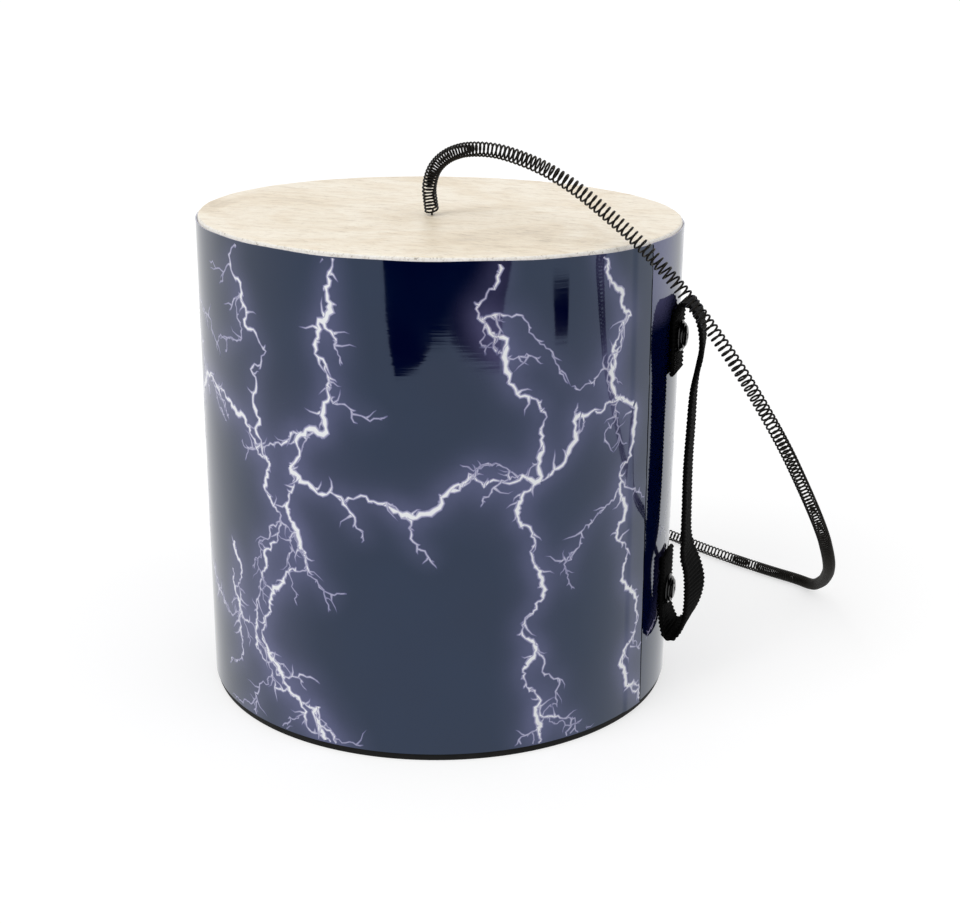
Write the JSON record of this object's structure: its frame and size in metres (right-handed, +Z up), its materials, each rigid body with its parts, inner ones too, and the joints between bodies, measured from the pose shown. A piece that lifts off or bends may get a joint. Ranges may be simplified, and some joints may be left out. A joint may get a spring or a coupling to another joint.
{
  "type": "thunder tube",
  "caption": "Hand-held thunder tube: open-ended drum shell with a storm-coloured wrap, one hide-look head, a long coil spring hanging from the head and a webbing strap handle.",
  "frame": {"origin": "middle of the footprint of tube and handle, on the surface that the open end stands on; the tube's own axis stands 7.5 mm towards -X of it", "axes": "+Z up along the tube towards the head, +X from the tube's axis towards the strap handle, +Y to the left of someone who looks along +X"},
  "size_m": [0.2732, 0.3101, 0.2362],
  "materials": {
    "black_fibre": "matte black fibre board",
    "printed_film": "glossy film with a dark stormy-sky print and pale lightning",
    "hide_film": "satin film with a mottled hide look",
    "white_nylon": "plain moulded",
    "zinc_steel": "zinc plated",
    "spring_steel": "blackened oiled spring wire",
    "black_webbing": "coarse woven webbing",
    "black_steel": "glossy black"
  },
  "bodies": {
    "tube": {"shell": "black_fibre", "printed_wrap": "printed_film", "head": "hide_film", "head_patch": "hide_film", "handle_strap": "black_webbing", "upper_cup_washer": "black_steel", "upper_screw": "black_steel", "upper_back_washer": "zinc_steel", "upper_lock_washer": "zinc_steel", "upper_nut": "zinc_steel", "lower_cup_washer": "black_steel", "lower_screw": "black_steel", "lower_back_washer": "zinc_steel", "lower_lock_washer": "zinc_steel", "lower_nut": "zinc_steel"},
    "swivel": {"swivel_washer": "white_nylon"},
    "hanging_spring": {"spring": "spring_steel", "keeper_bead": "zinc_steel"}
  },
  "joints": [
    {"name": "spring_swing", "type": "hinge", "parent": "tube", "child": "swivel", "pos_m": [-0.0082, -0.0113, 0.2038], "axis": [0, 0, 1], "range_deg": [-40, 25]},
    {"name": "spring_lift", "type": "hinge", "parent": "swivel", "child": "hanging_spring", "pos_m": [-0.0082, -0.0113, 0.2038], "axis": [0.7659, -0.6429, 0], "range_deg": [0, 18]}
  ]
}
